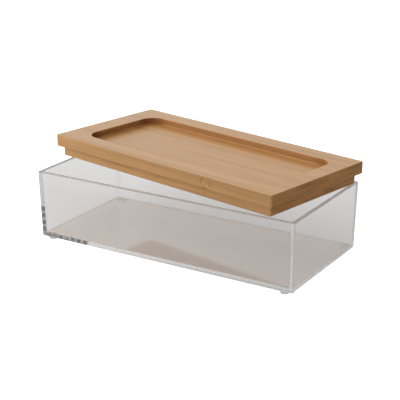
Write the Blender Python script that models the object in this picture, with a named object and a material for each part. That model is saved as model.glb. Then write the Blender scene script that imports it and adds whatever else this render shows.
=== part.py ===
# Clear storage box with a bamboo tray lid laid askew on its rim
# Metres, +Z up, long side along X, front towards -Y
# Origin: on the surface that the box stands on, under the middle of the lid

import math

import bmesh
import bpy

# Box
box_length = 0.2032          # at the rim
box_width = 0.0976           # at the rim
box_height = 0.0483          # the moulding alone, without its feet
box_wall = 0.0028
box_floor = 0.0026
box_draft = 0.0010           # how far each wall leans in on its way down
box_corner_radius = 0.0014   # upright corners, outside
box_inner_radius = 0.0010    # upright corners, inside
box_floor_fillet = 0.0006    # inside, where the walls meet the floor
box_base_radius = 0.0008     # outside, around the underside
box_rim_radius = 0.0004      # both edges of the rim

# Feet
foot_diameter = 0.0066
foot_height = 0.0018
foot_taper = 0.0002          # narrower at the ground, per side
foot_edge_radius = 0.0004
foot_from_end = 0.0072       # centre to the end of the underside
foot_from_side = 0.0042      # centre to the long side of the underside

# Lid: the tray board
tray_overhang = 0.0003       # past the rim, per side
tray_thickness = 0.0086
tray_corner_radius = 0.0013
tray_top_radius = 0.0004
tray_base_radius = 0.0009

# Lid: the recess in the tray board
recess_depth = 0.0048
recess_left_border = 0.0170
recess_right_border = 0.0140
recess_front_border = 0.0140
recess_back_border = 0.0152
recess_corner_radius = 0.0105
recess_floor_fillet = 0.0012
recess_lip_radius = 0.0005

# Lid: the plug board below, which fits inside the rim
plug_thickness = 0.0070
plug_clearance = 0.0005      # to the rim's opening, per side
plug_corner_radius = 0.0012
plug_base_radius = 0.0008
plug_top_radius = 0.0002

# Where the lid lies on the rim, seen from above
lid_turn = math.radians(-11.33)
lid_shift_along = -0.0039    # middle of the lid from the middle of the box, along X
lid_shift_back = 0.0171      # the same along Y

# Gaps
touch_gap = 0.0003           # between pieces that rest on each other
glue_gap = 0.0003            # the glue line between the two boards
level_tolerance = 0.00001    # points this close in height count as level

# Facets
corner_steps = 8
recess_steps = 14
fillet_steps = 4
ease_steps = 2
foot_sides = 40
smooth_angle = math.radians(35)

# Colours
clear_plastic_colour = (0.90, 0.90, 0.89)
clear_foot_colour = (0.80, 0.79, 0.78)
tray_colour = (0.60, 0.42, 0.27)
plug_colour = (0.56, 0.38, 0.22)


# The scene is emptied first
def clear_scene():
    for thing in list(bpy.data.objects):
        bpy.data.objects.remove(thing, do_unlink=True)


# One Principled material for one piece
def make_material(name, colour, roughness, metallic=0.0, transmission=0.0):
    material = bpy.data.materials.new(name)
    material.use_nodes = True
    material.diffuse_color = (*colour, 1.0)
    shader = material.node_tree.nodes["Principled BSDF"]
    shader.inputs["Base Color"].default_value = (*colour, 1.0)
    shader.inputs["Roughness"].default_value = roughness
    shader.inputs["Metallic"].default_value = metallic
    shader.inputs["Transmission Weight"].default_value = transmission
    return material


# An empty that carries pieces
def make_empty(name, location, turn=0.0):
    empty = bpy.data.objects.new(name, None)
    empty.location = location
    empty.rotation_euler.z = turn
    bpy.context.collection.objects.link(empty)
    return empty


# A finished piece from its bmesh
def make_piece(name, form, material, location, parent):
    bmesh.ops.recalc_face_normals(form, faces=form.faces)
    mesh = bpy.data.meshes.new(name)
    form.to_mesh(mesh)
    form.free()
    mesh.materials.append(material)
    mesh.shade_smooth()
    mesh.set_sharp_from_angle(angle=smooth_angle)
    piece = bpy.data.objects.new(name, mesh)
    piece.location = location
    piece.parent = parent
    bpy.context.collection.objects.link(piece)
    return piece


# Edges that lie level at one height, between the points given
def level_edges(form, points, height):
    level = {point for point in points if abs(point.co.z - height) < level_tolerance}
    return [edge for edge in form.edges if edge.verts[0] in level and edge.verts[1] in level]


# Some edges rounded to a radius
def round_edges(form, edges, radius, steps):
    bmesh.ops.bevel(form, geom=edges, offset=radius, offset_type="OFFSET", affect="EDGES",
                    segments=steps, profile=0.5, material=-1)


# A block that hangs from height zero, drawn in at its underside, with round upright corners
# and a round lower edge
def add_block(form, length, width, depth, draft, corner_radius, steps, base_radius, base_steps,
              middle=(0.0, 0.0)):
    older = set(form.verts)
    older_edges = set(form.edges)
    points = bmesh.ops.create_cube(form, size=1.0)["verts"]
    bmesh.ops.scale(form, vec=(length, width, depth), verts=points)
    for point in points:
        if point.co.z < 0.0:
            point.co.x -= math.copysign(draft, point.co.x)
            point.co.y -= math.copysign(draft, point.co.y)
    bmesh.ops.translate(form, vec=(middle[0], middle[1], -depth / 2), verts=points)
    uprights = [edge for edge in form.edges if edge not in older_edges
                and abs(edge.verts[0].co.z - edge.verts[1].co.z) > depth / 2]
    round_edges(form, uprights, corner_radius, steps)
    points = [point for point in form.verts if point not in older]
    round_edges(form, level_edges(form, points, -depth), base_radius, base_steps)
    return [point for point in form.verts if point not in older]


# The top face of a block is taken off, and its rim is returned
def open_top(form, points):
    rim = level_edges(form, points, 0.0)
    corners = {point for edge in rim for point in edge.verts}
    tops = [face for face in form.faces if all(point in corners for point in face.verts)]
    bmesh.ops.delete(form, geom=tops, context="FACES_ONLY")
    return rim


# A block with a hollow sunk into its top, joined around one flat rim
def join_hollow(form, outside, hollow, rim_radius, lip_radius):
    outer_rim = open_top(form, outside)
    inner_rim = open_top(form, hollow)
    inner_points = set(hollow)
    inner_faces = [face for face in form.faces if face.verts[0] in inner_points]
    bmesh.ops.reverse_faces(form, faces=inner_faces)
    bmesh.ops.bridge_loops(form, edges=outer_rim + inner_rim)
    round_edges(form, outer_rim, rim_radius, ease_steps)
    round_edges(form, inner_rim, lip_radius, ease_steps)


# The clear box, hung from its rim
def make_box(parent, rim_height):
    form = bmesh.new()
    outside = add_block(form, box_length, box_width, box_height, box_draft,
                        box_corner_radius, corner_steps, box_base_radius, ease_steps)
    depth = box_height - box_floor
    hollow = add_block(form, box_length - 2 * box_wall, box_width - 2 * box_wall, depth,
                       box_draft * depth / box_height,
                       box_inner_radius, corner_steps, box_floor_fillet, fillet_steps)
    join_hollow(form, outside, hollow, box_rim_radius, box_rim_radius)
    material = make_material("clear_plastic", clear_plastic_colour, 0.06, transmission=1.0)
    make_piece("clear_box", form, material, (0.0, 0.0, rim_height), parent)


# One round foot, standing on height zero
def make_foot(name, material, along, across, parent):
    form = bmesh.new()
    top_radius = foot_diameter / 2
    bmesh.ops.create_cone(form, cap_ends=True, cap_tris=False, segments=foot_sides,
                          radius1=top_radius - foot_taper, radius2=top_radius, depth=foot_height)
    bmesh.ops.translate(form, vec=(0.0, 0.0, foot_height / 2), verts=form.verts)
    round_edges(form, level_edges(form, form.verts, 0.0), foot_edge_radius, ease_steps)
    make_piece(name, form, material, (along, across, 0.0), parent)


# Four feet, one under each corner
def make_feet(parent):
    material = make_material("clear_foot", clear_foot_colour, 0.25, transmission=0.6)
    along = box_length / 2 - box_draft - foot_from_end
    across = box_width / 2 - box_draft - foot_from_side
    for row, side in (("front", -1), ("back", 1)):
        for place, end in (("left", -1), ("right", 1)):
            make_foot(f"foot_{row}_{place}", material, end * along, side * across, parent)


# The upper board of the lid, with its recess
def make_tray_board(parent, top_height):
    length = box_length + 2 * tray_overhang
    width = box_width + 2 * tray_overhang
    form = bmesh.new()
    outside = add_block(form, length, width, tray_thickness, 0.0,
                        tray_corner_radius, recess_steps, tray_base_radius, ease_steps)
    middle = ((recess_left_border - recess_right_border) / 2,
              (recess_front_border - recess_back_border) / 2)
    hollow = add_block(form, length - recess_left_border - recess_right_border,
                       width - recess_front_border - recess_back_border, recess_depth, 0.0,
                       recess_corner_radius, recess_steps, recess_floor_fillet, fillet_steps,
                       middle)
    join_hollow(form, outside, hollow, tray_top_radius, recess_lip_radius)
    material = make_material("bamboo_tray", tray_colour, 0.5)
    make_piece("lid_tray_board", form, material, (0.0, 0.0, top_height), parent)


# The lower board of the lid, which drops inside the rim
def make_plug_board(parent, top_height):
    inset = box_wall + plug_clearance
    form = bmesh.new()
    points = add_block(form, box_length - 2 * inset, box_width - 2 * inset, plug_thickness, 0.0,
                       plug_corner_radius, corner_steps, plug_base_radius, ease_steps)
    round_edges(form, level_edges(form, points, 0.0), plug_top_radius, ease_steps)
    material = make_material("bamboo_plug", plug_colour, 0.5)
    make_piece("lid_plug_board", form, material, (0.0, 0.0, top_height), parent)


# The box on its feet, and the lid laid on its rim
def build():
    clear_scene()
    rim_height = foot_height + touch_gap + box_height
    box_place = make_empty("box_place", (-lid_shift_along, -lid_shift_back, 0.0))
    make_box(box_place, rim_height)
    make_feet(box_place)
    lid_lift = make_empty("lid_lift", (0.0, 0.0, rim_height), lid_turn)
    plug_top = touch_gap + plug_thickness
    make_plug_board(lid_lift, plug_top)
    make_tray_board(lid_lift, plug_top + glue_gap + tray_thickness)


build()
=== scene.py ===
# Clear storage box with a bamboo tray lid laid askew on its rim: the finish of every surface
# Metres, +Z up, the box's long side along X and its front towards -Y
import math

import bmesh
import bpy
from mathutils import Matrix, Vector


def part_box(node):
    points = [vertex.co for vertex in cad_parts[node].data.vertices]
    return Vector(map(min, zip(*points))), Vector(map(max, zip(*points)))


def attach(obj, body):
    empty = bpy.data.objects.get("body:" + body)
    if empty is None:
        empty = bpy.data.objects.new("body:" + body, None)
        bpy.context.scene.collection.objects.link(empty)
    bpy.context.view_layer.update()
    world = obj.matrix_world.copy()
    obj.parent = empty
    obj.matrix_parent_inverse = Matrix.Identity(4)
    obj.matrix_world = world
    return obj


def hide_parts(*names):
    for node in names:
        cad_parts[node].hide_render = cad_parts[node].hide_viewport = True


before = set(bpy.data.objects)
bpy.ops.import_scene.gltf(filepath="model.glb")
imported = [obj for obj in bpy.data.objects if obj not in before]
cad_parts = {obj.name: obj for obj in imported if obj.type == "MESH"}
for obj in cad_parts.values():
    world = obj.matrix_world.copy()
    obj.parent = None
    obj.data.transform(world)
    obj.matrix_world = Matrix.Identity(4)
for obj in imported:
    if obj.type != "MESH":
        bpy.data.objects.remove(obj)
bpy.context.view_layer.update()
print("frame loaded:", sorted(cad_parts))

lidTurn = math.radians(-11.33)   # how the lid lies on the box, seen from above
levelTolerance = 0.00001         # points this close in height count as level
flatWeight = 100                 # large faces count fully, so they stay flat beside round edges
noiseMiddle = 0.5                # noise runs from 0 to 1


# Shader maths written as Python: each value is one output of a node
class Shade:
    def __init__(self, tree, output=None):
        self.tree = tree
        self.output = output

    # Any node: its settings first, then the values or links of its sockets
    def node(self, kind, settings=None, inputs=None, output=0):
        made = self.tree.nodes.new("ShaderNode" + kind)
        for name, value in (settings or {}).items():
            setattr(made, name, value)
        for name, value in (inputs or {}).items():
            if isinstance(value, Shade):
                self.tree.links.new(value.output, made.inputs[name])
            else:
                made.inputs[name].default_value = value
        return Shade(self.tree, made.outputs[output])

    def maths(self, operation, first, second=0.0, clamp=False):
        return self.node("Math", {"operation": operation, "use_clamp": clamp},
                         {0: first, 1: second})

    def __add__(self, other):
        return self.maths("ADD", self, other)

    def __radd__(self, other):
        return self.maths("ADD", other, self)

    def __sub__(self, other):
        return self.maths("SUBTRACT", self, other)

    def __rsub__(self, other):
        return self.maths("SUBTRACT", other, self)

    def __mul__(self, other):
        return self.maths("MULTIPLY", self, other)

    def __rmul__(self, other):
        return self.maths("MULTIPLY", other, self)

    def __truediv__(self, other):
        return self.maths("DIVIDE", self, other)

    def __pow__(self, other):
        return self.maths("POWER", self, other)

    def __abs__(self):
        return self.maths("ABSOLUTE", self)

    def __neg__(self):
        return self.maths("MULTIPLY", self, -1.0)

    def floor(self):
        return self.maths("FLOOR", self)

    def atLeast(self, other):
        return self.maths("MAXIMUM", self, other)

    def atMost(self, other):
        return self.maths("MINIMUM", self, other)

    def isBelow(self, other):   # 1 where it is, and 0 elsewhere
        return self.maths("LESS_THAN", self, other)

    def isAbove(self, other):
        return self.maths("GREATER_THAN", self, other)

    def limit(self):   # kept between 0 and 1
        return self.maths("ADD", self, 0.0, clamp=True)

    def step(self, low, high):   # 0 below low, rising smoothly to 1 at high
        return self.node("MapRange", {"interpolation_type": "SMOOTHSTEP"},
                         {"Value": self, "From Min": low, "From Max": high})

    def line(self, width):   # 1 at zero, falling to 0 on both sides
        share = self / width
        return self.maths("EXPONENT", -(share * share))

    def parts(self):   # the three numbers of a vector
        split = self.node("SeparateXYZ", {}, {"Vector": self})
        return [Shade(self.tree, socket) for socket in split.output.node.outputs]


# Colours go through Mix nodes, whose colour sockets share their names with others and go by number
def mixColours(share, first, second, blend="MIX"):
    return share.node("Mix", {"data_type": "RGBA", "blend_type": blend},
                      {0: share, 6: first, 7: second}, output=2)


def paint(colour):
    return (*colour, 1.0)


black = paint((0.0, 0.0, 0.0))
white = paint((1.0, 1.0, 1.0))


# A new material, its first Shade and its Principled shader
def newMaterial(name):
    material = bpy.data.materials.new(name)
    material.use_nodes = True
    shader = material.node_tree.nodes["Principled BSDF"]
    return material, Shade(material.node_tree), shader


def connect(shade, shader, socket):
    shade.tree.links.new(shade.output, shader.inputs[socket])


# Clear plastic bends what is seen through it, but light falls straight through it, a little dimmed
def newPlastic(name, values):
    material, shade, shader = newMaterial(name)
    shader.inputs["IOR"].default_value = values["index"]
    shader.inputs["Transmission Weight"].default_value = 1.0
    isShadow = shade.node("LightPath", output="Is Shadow Ray")
    isDiffuse = shade.node("LightPath", output="Is Diffuse Ray")
    bent = Shade(shade.tree, shader.outputs["BSDF"])
    straight = shade.node("BsdfTransparent", {}, {"Color": paint(values["shadow"])})
    mixed = shade.node("MixShader", {}, {0: (isShadow + isDiffuse).limit(), 1: bent, 2: straight})
    connect(mixed, shade.tree.nodes["Material Output"], "Surface")
    return material, shade, shader


# Tools for all pieces

# Edges that lie level at one height, between the points given
def levelEdges(form, points, height):
    level = {point for point in points if abs(point.co.z - height) < levelTolerance}
    return [edge for edge in form.edges if edge.verts[0] in level and edge.verts[1] in level]


def roundEdges(form, edges, radius, steps):
    bmesh.ops.bevel(form, geom=edges, offset=radius, offset_type="OFFSET", affect="EDGES",
                    segments=steps, profile=0.5, material=-1)


# A block between two corners, drawn in at its underside, with round uprights and lower edge
def addBlock(form, low, high, drawIn, cornerRadius, cornerSteps, baseRadius, baseSteps):
    older = set(form.verts)
    olderEdges = set(form.edges)
    size = high - low
    points = bmesh.ops.create_cube(form, size=1.0)["verts"]
    bmesh.ops.scale(form, vec=size, verts=points)
    for point in points:
        if point.co.z < 0.0:
            point.co.x -= math.copysign(drawIn, point.co.x)
            point.co.y -= math.copysign(drawIn, point.co.y)
    bmesh.ops.translate(form, vec=(low + high) / 2, verts=points)
    uprights = [edge for edge in form.edges if edge not in olderEdges
                and abs(edge.verts[0].co.z - edge.verts[1].co.z) > size.z / 2]
    roundEdges(form, uprights, cornerRadius, cornerSteps)
    points = [point for point in form.verts if point not in older]
    roundEdges(form, levelEdges(form, points, low.z), baseRadius, baseSteps)
    return [point for point in form.verts if point not in older]


# The top face of a block is taken off, and its rim is returned
def openTop(form, points, height):
    rim = levelEdges(form, points, height)
    corners = {point for edge in rim for point in edge.verts}
    tops = [face for face in form.faces if all(point in corners for point in face.verts)]
    bmesh.ops.delete(form, geom=tops, context="FACES_ONLY")
    return rim


# A block with a hollow sunk into its top, joined around one flat rim
def joinHollow(form, outside, hollow, height, rimRadius, lipRadius, steps):
    outerRim = openTop(form, outside, height)
    innerRim = openTop(form, hollow, height)
    innerPoints = set(hollow)
    innerFaces = [face for face in form.faces if face.verts[0] in innerPoints]
    bmesh.ops.reverse_faces(form, faces=innerFaces)
    bmesh.ops.bridge_loops(form, edges=outerRim + innerRim)
    roundEdges(form, outerRim, rimRadius, steps)
    roundEdges(form, innerRim, lipRadius, steps)


def makeObject(name, form, material):
    mesh = bpy.data.meshes.new(name)
    form.to_mesh(mesh)
    form.free()
    mesh.materials.append(material)
    made = bpy.data.objects.new(name, mesh)
    bpy.context.collection.objects.link(made)
    return made


# A finished piece: its place is in its mesh, turned about Z where it lies turned
def finishPiece(name, form, material, body, nodes, turn=0.0):
    bmesh.ops.rotate(form, cent=(0.0, 0.0, 0.0), matrix=Matrix.Rotation(turn, 3, "Z"),
                     verts=form.verts)
    bmesh.ops.recalc_face_normals(form, faces=form.faces)
    piece = makeObject(name, form, material)
    piece.data.shade_smooth()
    flats = piece.modifiers.new("flats", "WEIGHTED_NORMAL")
    flats.weight = flatWeight
    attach(piece, body)
    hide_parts(*nodes)


# Lowest and highest corner of a node, in axes turned about Z
def turnedBox(node, turn):
    back = Matrix.Rotation(-turn, 3, "Z")
    spots = [back @ point.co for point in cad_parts[node].data.vertices]
    low = Vector(min(spot[axis] for spot in spots) for axis in range(3))
    high = Vector(max(spot[axis] for spot in spots) for axis in range(3))
    return low, high


# The clear box
boxValues = {
    "wall": 0.0028,
    "floor": 0.0026,
    "drawIn": 0.0010,
    "cornerRadius": 0.0014,
    "innerRadius": 0.0010,
    "floorFillet": 0.0006,
    "baseRadius": 0.0008,
    "rimRadius": 0.0004,
    "cornerSteps": 32,       # facets of the round edges, many because they bend what shows through
    "baseSteps": 16,
    "innerSteps": 40,
    "filletSteps": 24,
    "rimSteps": 10,
    "tint": (0.975, 0.972, 0.969),
    # Painted shade: the round edges are tinted darker, for the dark lines that light through them shows
    "edgeTint": (0.93, 0.92, 0.91),    # on the round edges
    "edgeFacing": (0.005, 0.06),       # how far a normal leaves its axis where that starts and is full
    # Painted shade: both sides of the box's floor are tinted darker and browner, for the shadow beneath
    # the lid
    "baseTint": (0.85, 0.77, 0.71),    # on both sides of its floor
    "baseFacing": (0.6, 0.9),          # how far up or down a normal points where that starts and is full
    # Painted shade: the rim is tinted darker, for the dark band that light through the walls shows on it
    "rimTint": (0.86, 0.82, 0.79),     # on the rim
    "rimBlend": 0.0002,                # height over which that starts, below the rim's round edges
    "shadow": (0.90, 0.885, 0.87),     # what is left of the light that falls straight through
    "inside": (0.72, 0.68, 0.65),      # colour of the plastic's depth
    "density": 0.8,
    "index": 1.49,
    "roughness": 0.048,
    "edgeFrost": 0.13,       # added to the roughness on the round edges
    "rimFrost": 0.22,        # and on the rim
}


# 0 on the flat sides, 1 on the round edges between them
def roundedPart(normal):
    along, across, up = [abs(part) for part in normal]
    return (1.0 - along.atLeast(across).atLeast(up)).step(*boxValues["edgeFacing"])


def makeClearPlastic(rimHeight):
    material, shade, shader = newPlastic("clearPlastic", boxValues)
    normal = shade.node("TexCoord", output="Normal").parts()
    height = shade.node("TexCoord", output="Object").parts()[2]
    rimStart = rimHeight - boxValues["rimRadius"]
    rim = height.step(rimStart - boxValues["rimBlend"], rimStart)
    edge = roundedPart(normal)
    # painted shade on both sides of the box's floor
    base = abs(normal[2]).step(*boxValues["baseFacing"])
    tint = mixColours(base, paint(boxValues["tint"]), paint(boxValues["baseTint"]))
    # painted shade on the round edges; their frost below is real roughness
    tint = mixColours(edge, tint, paint(boxValues["edgeTint"]))
    # painted shade on the rim
    connect(mixColours(rim, tint, paint(boxValues["rimTint"])), shader, "Base Color")
    connect(edge * boxValues["edgeFrost"] + rim * boxValues["rimFrost"] + boxValues["roughness"],
            shader, "Roughness")
    depth = shade.node("VolumeAbsorption", {}, {"Color": paint(boxValues["inside"]),
                                                "Density": boxValues["density"]})
    connect(depth, material.node_tree.nodes["Material Output"], "Volume")
    return material


def makeClearBox():
    low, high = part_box("clear_box")
    wall = Vector((boxValues["wall"], boxValues["wall"], 0.0))
    floor = Vector((0.0, 0.0, boxValues["floor"]))
    depthShare = (high.z - low.z - boxValues["floor"]) / (high.z - low.z)
    form = bmesh.new()
    outside = addBlock(form, low, high, boxValues["drawIn"], boxValues["cornerRadius"],
                       boxValues["cornerSteps"], boxValues["baseRadius"], boxValues["baseSteps"])
    hollow = addBlock(form, low + wall + floor, high - wall, boxValues["drawIn"] * depthShare,
                      boxValues["innerRadius"], boxValues["innerSteps"],
                      boxValues["floorFillet"], boxValues["filletSteps"])
    joinHollow(form, outside, hollow, high.z, boxValues["rimRadius"], boxValues["rimRadius"],
               boxValues["rimSteps"])
    finishPiece("clearBox", form, makeClearPlastic(high.z), "box", ["clear_box"])


makeClearBox()
print("clear box made")

# The four feet
footValues = {
    "taper": 0.0002,         # narrower at the ground, per side
    "edgeRadius": 0.0006,
    "sides": 48,
    "edgeSteps": 5,
    "tint": (0.93, 0.92, 0.91),
    "shadow": (0.85, 0.84, 0.83),
    "roughness": 0.18,
    "index": 1.45,
}


def makeFootPlastic():
    material, _, shader = newPlastic("clearFoot", footValues)
    shader.inputs["Base Color"].default_value = paint(footValues["tint"])
    shader.inputs["Roughness"].default_value = footValues["roughness"]
    return material


def makeFeet():
    material = makeFootPlastic()
    for node in sorted(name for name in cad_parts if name.startswith("foot_")):
        low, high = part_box(node)
        form = bmesh.new()
        radius = (high.x - low.x) / 2
        bmesh.ops.create_cone(form, cap_ends=True, cap_tris=False, segments=footValues["sides"],
                              radius1=radius - footValues["taper"], radius2=radius,
                              depth=high.z - low.z)
        bmesh.ops.translate(form, vec=(low + high) / 2, verts=form.verts)
        roundEdges(form, levelEdges(form, form.verts, low.z), footValues["edgeRadius"],
                   footValues["edgeSteps"])
        corner = node[len("foot_"):].title().replace("_", "")
        finishPiece("foot" + corner, form, material, "box", [node])


makeFeet()
print("feet made")

# Bamboo: strips glued side by side, each with its own tone, fibres and knuckle
bambooValues = {
    "pale": (0.600, 0.327, 0.125),
    "deep": (0.345, 0.180, 0.063),
    "plainTone": 0.44,       # from pale to deep, where nothing else changes it
    # Painted light: faces that look straight up are made paler, as the light from above falls on them
    "upPaling": 0.19,        # taken off on faces that look straight up
    "upFacing": (0.98, 0.999),       # how far up a normal points where that starts and is full
    "sideFacing": (0.6, 0.9),        # the same for the long sides and the cut ends
    # Patterns of noise: waves per metre along and across the fibres, and detail
    "bands": (5.0, 150.0, 2.0),
    "streaks": (7.0, 520.0, 2.0),
    "fibres": (40.0, 2600.0, 1.0),
    "veins": (11.0, 900.0, 1.0),
    "layers": (30.0, 500.0, 3.0),    # on the cut ends, where they run across the board
    "sway": (110.0, 260.0, 2.0),     # of a knuckle's marks
    "breaks": (360.0, 360.0, 2.0),   # in its ring
    "stripShift": 37.0,      # how far the patterns of unlike strips are apart in the noise
    "veinShift": 5.0,
    "veinRise": (0.12, 0.26),        # where in its noise a vein starts and is full
    # How much each darkens the wood; the second of a pair is for the long sides
    "toneStrength": 0.36,
    "bandStrength": (0.85, 0.30),
    "streakStrength": (0.80, 0.60),
    "veinStrength": (0.25, 0.45),
    "fibreStrength": 0.7,
    "layerStrength": 2.6,
    "seamStrength": 0.10,
    "seam": 0.03,            # share of a strip's width
    "frontNeutral": -0.020,  # where along the lid the front strip's darkening is nil
    "knuckle": (0.250, 0.120, 0.040),
    "knuckleHalf": 0.0037,   # from a knuckle's middle to the dark line on each side
    "knuckleRise": 0.0040,   # the same upwards, on the long sides
    "knuckleLine": 0.0007,
    "lineStrength": 0.1,
    "knuckleSway": 0.0030,
    "knuckleSpread": 0.19,   # length of the board over which the strips' knuckles lie
    "backRing": 0.5,         # strength of the ring on the back strip, beside 1 on the front one
    "ringWidth": 0.28,       # this and the next four are shares of the ring's radius
    "eyeSize": 0.4,          # the dark middle of the ring
    "eyeLean": 0.3,          # upwards
    "paleRing": 0.55,        # the paler wood between them
    "paleWidth": 0.25,
    "eyeStrength": 0.5,
    "palePaling": 0.20,
    "breakSharpness": 5.0,
    "breakShare": 0.5,       # of the ring that stays
    # Painted shade in the recess, darkest in its corners: its colour and where it lies
    "scorch": (0.64, 0.44, 0.19),
    "scorchEnd": (0.0006, 0.0012),   # past the recess's outline, where it fades and ends
    "cornerReach": (-0.8, 0.3),      # in corner radii, where a corner's painted shade starts and is full
    "endScorch": 0.25,       # on the recess's walls, beside 1 in its corners
    "wallScorch": 0.40,      # added on its long walls
    "footScorch": 0.60,      # on its floor at the walls
    "footReach": 0.0105,     # from them to where it ends
    "roughness": 0.24,
    "fibreRoughness": 0.14,
    "sideRoughness": 0.50,   # added on all faces that don't look straight up
    "index": 1.60,           # lacquered
    "relief": 0.00003,       # height of the fibres; the next two are shares of it
    "streakRelief": 0.5,
    "knuckleRelief": 0.6,    # sunk in
}


# Noise drawn out along the fibres
def fibreNoise(shade, own, start, pattern):
    along, across, up = own
    alongCount, acrossCount, detail = bambooValues[pattern]
    spot = shade.node("CombineXYZ", {}, {0: along * alongCount + start, 1: across * acrossCount,
                                         2: up * acrossCount})
    return shade.node("TexNoise", {}, {"Vector": spot, "Scale": 1.0, "Detail": detail}) - noiseMiddle


# How much a pattern darkens the wood, from its pair of strengths
def strength(onLongSide, pair):
    elsewhere, beside = bambooValues[pair]
    return onLongSide * (beside - elsewhere) + elsewhere


# The dark marks of a strip's knuckle: two wavy lines across or, where it shows on a long side,
# a broken ring with a dark middle; and the paler wood inside the ring
def knuckleMarks(shade, own, start, middle, height, ringed):
    sway = fibreNoise(shade, own, start, "sway")
    along = own[0] - middle + sway * bambooValues["knuckleSway"]
    lines = (abs(along) - bambooValues["knuckleHalf"]).line(bambooValues["knuckleLine"])
    up = (own[2] - height) / bambooValues["knuckleRise"] - sway
    out = along / bambooValues["knuckleHalf"]
    away = (out * out + up * up) ** 0.5
    eye = (away - up * bambooValues["eyeLean"]).line(bambooValues["eyeSize"])
    ring = (away - 1.0).line(bambooValues["ringWidth"]) + eye * bambooValues["eyeStrength"]
    broken = (fibreNoise(shade, own, start, "breaks") * bambooValues["breakSharpness"]
              + bambooValues["breakShare"]).limit()
    marks = lines * (1.0 - ringed) * bambooValues["lineStrength"] + ring * ringed * broken
    paler = (away - bambooValues["paleRing"]).line(bambooValues["paleWidth"]) * ringed
    return marks, paler


# How far a face points along one of the lid's own axes
def facing(shade, axis):
    normal = shade.node("TexCoord", output="Normal")
    direction = Matrix.Rotation(lidTurn, 3, "Z") @ Vector(axis)
    return shade.node("VectorMath", {"operation": "DOT_PRODUCT"},
                      {0: normal, 1: direction}, output="Value")


# 1 on the cut ends, on the long sides and on the faces that look straight up, each 0 elsewhere
def sortFaces(shade):
    cutEnd = abs(facing(shade, (1.0, 0.0, 0.0))).step(*bambooValues["sideFacing"])
    onLongSide = abs(facing(shade, (0.0, 1.0, 0.0))).step(*bambooValues["sideFacing"])
    upward = facing(shade, (0.0, 0.0, 1.0)).step(*bambooValues["upFacing"])
    return cutEnd, onLongSide, upward


# The strips: a tone for each, the seams between them, and 1 on the front and on the back one
def sortStrips(shade, own, values, low, high):
    half = 0.5   # of a strip
    depth = (own[1] - low.y) / ((high.y - low.y) / values["strips"])
    strip = depth.floor()
    tone = shade.node("TexWhiteNoise", {"noise_dimensions": "1D"},
                      {"W": strip + values["seed"]}) - noiseMiddle
    seam = (abs(depth - strip - half) - half).line(bambooValues["seam"])
    first = strip.isBelow(half)
    last = strip.isAbove(values["strips"] - 1 - half)
    return tone, seam, first, last


# What darkens and pales the wood along its fibres, strip by strip
def mixGrain(shade, own, start, tone, seam, streaks, onLongSide):
    bands = fibreNoise(shade, own, start, "bands")
    veins = fibreNoise(shade, own, start + bambooValues["veinShift"], "veins")
    return (tone * bambooValues["toneStrength"] + bands * strength(onLongSide, "bandStrength")
            + streaks * strength(onLongSide, "streakStrength")
            + veins.step(*bambooValues["veinRise"]) * strength(onLongSide, "veinStrength")
            + seam * bambooValues["seamStrength"])


# Painted shade in a recess, where its walls keep light off: most in its round corners, less on its
# long walls and on the floor beside all walls, and least on its end walls
def paintedRecessShade(own, recess, upward, onLongSide):
    low, high, radius = recess
    along, across = [abs(own[axis] - (low[axis] + high[axis]) / 2)
                     - ((high[axis] - low[axis]) / 2 - radius) for axis in range(2)]
    pastAlong, pastAcross = along.atLeast(0.0), across.atLeast(0.0)
    outward = (pastAlong * pastAlong + pastAcross * pastAcross) ** 0.5 - radius
    wall = (1.0 - upward) * (1.0 - outward.step(*bambooValues["scorchEnd"]))
    corner = (along.atMost(across) / radius).step(*bambooValues["cornerReach"])
    straight = onLongSide * bambooValues["wallScorch"] + bambooValues["endScorch"]
    foot = upward * outward.isBelow(0.0) * outward.step(-bambooValues["footReach"], 0.0)
    return wall * (corner + (1.0 - corner) * straight) + foot * bambooValues["footScorch"]


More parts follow.
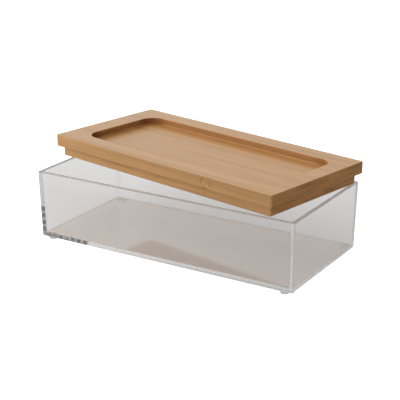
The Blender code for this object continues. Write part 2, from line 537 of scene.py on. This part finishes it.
def makeBamboo(name, values, low, high, recess=None):
    material, shade, shader = newMaterial(name)
    where = shade.node("TexCoord", output="Object")
    own = shade.node("Mapping", {}, {"Vector": where, "Rotation": (0.0, 0.0, -lidTurn)}).parts()
    cutEnd, onLongSide, upward = sortFaces(shade)
    tone, seam, first, last = sortStrips(shade, own, values, low, high)
    start = tone * bambooValues["stripShift"]
    streaks = fibreNoise(shade, own, start, "streaks")
    fibres = fibreNoise(shade, own, start, "fibres")
    layers = fibreNoise(shade, (own[1], own[2], own[0]), values["seed"], "layers")
    grain = (mixGrain(shade, own, start, tone, seam, streaks, onLongSide) * (1.0 - cutEnd)
             + layers * cutEnd * bambooValues["layerStrength"])
    middle = (tone * bambooValues["knuckleSpread"] * (1.0 - first)
              + first * values["frontKnuckle"])
    ringed = onLongSide * (first + last * bambooValues["backRing"]) * values["ring"]
    knuckle, paler = knuckleMarks(shade, own, start, middle, (low.z + high.z) / 2, ringed)
    toTheRight = first * onLongSide * (own[0] - bambooValues["frontNeutral"])
    # faces that look straight up are made paler here: painted light
    dark = (grain * values["contrast"] + fibres * bambooValues["fibreStrength"]
            + cutEnd * values["endDarkening"] - upward * bambooValues["upPaling"]
            - paler * bambooValues["palePaling"] + toTheRight * values["frontDarkening"]
            + bambooValues["plainTone"])

    colour = mixColours(dark.limit(), paint(bambooValues["pale"]), paint(bambooValues["deep"]))
    colour = mixColours(knuckle.limit(), colour, paint(bambooValues["knuckle"]))
    # the cut ends take the end grain's colour; on the plug it is made paler, painted light
    colour = mixColours(cutEnd, colour, paint(values["endGrain"]), "MULTIPLY")
    # Painted shade in the recess, where its walls shade it
    if recess:
        scorch = paintedRecessShade(own, recess, upward, onLongSide)
        colour = mixColours(scorch, colour, paint(bambooValues["scorch"]), "MULTIPLY")
    connect(colour, shader, "Base Color")
    connect(fibres * bambooValues["fibreRoughness"] + (1.0 - upward) * bambooValues["sideRoughness"]
            + bambooValues["roughness"], shader, "Roughness")
    shader.inputs["IOR"].default_value = bambooValues["index"]
    height = (fibres + streaks * bambooValues["streakRelief"]
              - knuckle * bambooValues["knuckleRelief"])
    relief = shade.node("Bump", {}, {"Distance": bambooValues["relief"], "Height": height})
    connect(relief, shader, "Normal")
    return material


# The upper board of the lid, with its recess
trayValues = {
    "cornerRadius": 0.0013,
    "topRadius": 0.0004,
    "baseRadius": 0.0005,
    "recessDepth": 0.0048,
    "leftBorder": 0.0170,
    "rightBorder": 0.0140,
    "frontBorder": 0.0140,
    "backBorder": 0.0152,
    "recessRadius": 0.0105,
    "floorFillet": 0.0012,
    "lipRadius": 0.0005,
    "cornerSteps": 8,
    "baseSteps": 4,
    "recessSteps": 28,
    "filletSteps": 6,
    "rimSteps": 3,
    "strips": 16,
    "seed": 3.0,
    "frontKnuckle": 0.0461,   # along the lid from its middle
    "ring": 1.0,              # strength of the ring around it
    "contrast": 1.0,          # of its strips and their grain
    "frontDarkening": 2.5,    # the front strip gets darker to the right, per metre
    "endGrain": (0.94, 0.80, 0.60),   # the colour of the cut ends beside that of the long sides
    "endDarkening": 0.05,
}


def makeTrayBoard():
    low, high = turnedBox("lid_tray_board", lidTurn)
    form = bmesh.new()
    outside = addBlock(form, low, high, 0.0, trayValues["cornerRadius"],
                       trayValues["cornerSteps"], trayValues["baseRadius"],
                       trayValues["baseSteps"])
    recessLow = Vector((low.x + trayValues["leftBorder"], low.y + trayValues["frontBorder"],
                        high.z - trayValues["recessDepth"]))
    recessHigh = Vector((high.x - trayValues["rightBorder"], high.y - trayValues["backBorder"],
                         high.z))
    hollow = addBlock(form, recessLow, recessHigh, 0.0, trayValues["recessRadius"],
                      trayValues["recessSteps"], trayValues["floorFillet"],
                      trayValues["filletSteps"])
    joinHollow(form, outside, hollow, high.z, trayValues["topRadius"], trayValues["lipRadius"],
               trayValues["rimSteps"])
    material = makeBamboo("bambooTray", trayValues, low, high,
                          (recessLow, recessHigh, trayValues["recessRadius"]))
    finishPiece("lidTrayBoard", form, material, "lid", ["lid_tray_board"], lidTurn)


makeTrayBoard()
print("tray board made")

# The lower board of the lid
plugValues = {
    "cornerRadius": 0.0012,
    "baseRadius": 0.0008,
    "topRadius": 0.0002,
    "cornerSteps": 8,
    "baseSteps": 4,
    "topSteps": 2,
    "strips": 15,
    "seed": 41.0,
    "frontKnuckle": 0.0390,
    "ring": 0.3,
    "contrast": 1.5,
    "frontDarkening": 2.0,
    # Painted light: the plug's cut ends are made paler than the tray's, where the tray board shades them
    "endGrain": (0.99, 0.87, 0.70),
    "endDarkening": -0.20,
}


def makePlugBoard():
    low, high = turnedBox("lid_plug_board", lidTurn)
    form = bmesh.new()
    points = addBlock(form, low, high, 0.0, plugValues["cornerRadius"],
                      plugValues["cornerSteps"], plugValues["baseRadius"],
                      plugValues["baseSteps"])
    roundEdges(form, levelEdges(form, points, high.z), plugValues["topRadius"],
               plugValues["topSteps"])
    material = makeBamboo("bambooPlug", plugValues, low, high)
    finishPiece("lidPlugBoard", form, material, "lid", ["lid_plug_board"], lidTurn)


makePlugBoard()
print("plug board made")

# Floor, light and camera
studioValues = {
    "floorSize": 3.0,
    "floorSquares": 2,       # per side
    "floorColour": (0.63, 0.63, 0.63),
    "floorSeen": 1.0,        # glow of the floor where the camera sees it past the object
    "floorThrough": 0.375,   # and where it shows through the plastic or in a gloss
    "floorFade": -0.18,      # how much that changes to the right, per metre
    "floorLeast": 0.25,
    "floorShade": 0.56,      # its colour there beside the full one, which makes its shadows weaker
    "softboxPlace": (-1.50, -0.68, 0.72),
    "softboxSize": 1.4,
    "softboxPower": 12.8,
    "roomLight": {"middle": 0.54, "right": -0.68, "back": -0.49, "top": 0.42, "least": 0.03,
                  "most": 2.0},
    "roomGloss": {"middle": 0.42, "right": -0.60, "back": 0.0, "top": 0.0, "least": 0.10,
                  "most": 0.90},
    "azimuth": 31.35,        # of the camera, around the middle of the box's underside
    "elevation": 19.326,
    "distance": 0.819772,
    "aside": 0.00271,        # moved to the right and up from there, across its view
    "above": 0.029081,
    "focalPixels": 1153.4,   # its focal length, in pixels of a picture this wide:
    "framePixels": 400.0,
    "bounces": 250,          # the clear walls pass light on inside themselves many times
}


# The floor shows white where the camera sees it directly, as in a cut-out photograph
def makeFloor():
    form = bmesh.new()
    bmesh.ops.create_grid(form, x_segments=studioValues["floorSquares"],
                          y_segments=studioValues["floorSquares"], size=studioValues["floorSize"])
    material, shade, shader = newMaterial("floorPaper")
    shader.inputs["Roughness"].default_value = 1.0
    shader.inputs["Specular IOR Level"].default_value = 0.0
    seen = shade.node("LightPath", output="Is Camera Ray")
    through = shade.node("LightPath", output="Is Glossy Ray")
    weaker = [part * studioValues["floorShade"] for part in studioValues["floorColour"]]
    connect(mixColours(through, paint(studioValues["floorColour"]), paint(weaker)), shader,
            "Base Color")
    right = shade.node("TexCoord", output="Object").parts()[0]
    faded = right * studioValues["floorFade"] + studioValues["floorThrough"]
    glow = seen * studioValues["floorSeen"] + through * faded.atLeast(studioValues["floorLeast"])
    connect(mixColours(glow, black, white), shader, "Emission Color")
    shader.inputs["Emission Strength"].default_value = 1.0
    floor = makeObject("studioFloor", form, material)


# Brightness of a direction in the room, from its steps to the right, back and top
def roomGlow(shade, steps):
    right, back, top = shade.node("TexCoord", output="Generated").parts()
    glow = right * steps["right"] + back * steps["back"] + top * steps["top"] + steps["middle"]
    return glow.atLeast(steps["least"]).atMost(steps["most"])


# Soft light from the whole room, brightest from the front left and dim on the right;
# glosses show a paler room
def makeRoom():
    world = bpy.data.worlds.new("room")
    world.use_nodes = True
    bpy.context.scene.world = world
    shade = Shade(world.node_tree)
    background = world.node_tree.nodes["Background"]
    seen = shade.node("LightPath", output="Is Camera Ray")
    inGloss = shade.node("LightPath", output="Is Glossy Ray")
    light = roomGlow(shade, studioValues["roomLight"])
    pale = roomGlow(shade, studioValues["roomGloss"])
    connect(seen + (1.0 - seen) * (inGloss * pale + (1.0 - inGloss) * light), background,
            "Strength")
    background.inputs["Color"].default_value = white


# A large soft lamp on the left; it lights the wood, but its shape shows nowhere
def makeSoftbox():
    data = bpy.data.lights.new("softbox", "AREA")
    data.size = studioValues["softboxSize"]
    data.energy = studioValues["softboxPower"]
    softbox = bpy.data.objects.new("softbox", data)
    place = Vector(studioValues["softboxPlace"])
    turned = place.to_track_quat("Z", "Y").to_matrix().to_4x4()
    softbox.matrix_world = Matrix.Translation(place) @ turned
    softbox.visible_camera = False
    softbox.visible_glossy = False
    softbox.visible_transmission = False
    bpy.context.collection.objects.link(softbox)


def makeCamera():
    low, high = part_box("clear_box")
    middle = Vector(((low.x + high.x) / 2, (low.y + high.y) / 2, low.z))
    turn = math.radians(studioValues["azimuth"])
    rise = math.radians(studioValues["elevation"])
    back = Vector((math.sin(turn) * math.cos(rise), -math.cos(turn) * math.cos(rise),
                   math.sin(rise)))
    right = Vector((math.cos(turn), math.sin(turn), 0.0))
    up = back.cross(right)
    data = bpy.data.cameras.new("camera")
    data.lens = data.sensor_width * studioValues["focalPixels"] / studioValues["framePixels"]
    camera = bpy.data.objects.new("camera", data)
    place = (middle + back * studioValues["distance"] + right * studioValues["aside"]
             + up * studioValues["above"])
    turned = Matrix((right, up, back)).transposed().to_4x4()
    camera.matrix_world = Matrix.Translation(place) @ turned
    bpy.context.collection.objects.link(camera)
    bpy.context.scene.camera = camera


def setRender():
    bpy.context.scene.view_settings.view_transform = "Standard"
    cycles = bpy.context.scene.cycles
    cycles.max_bounces = studioValues["bounces"]
    cycles.glossy_bounces = studioValues["bounces"]
    cycles.transmission_bounces = studioValues["bounces"]


makeFloor()
makeRoom()
makeSoftbox()
makeCamera()
setRender()
print("studio made")
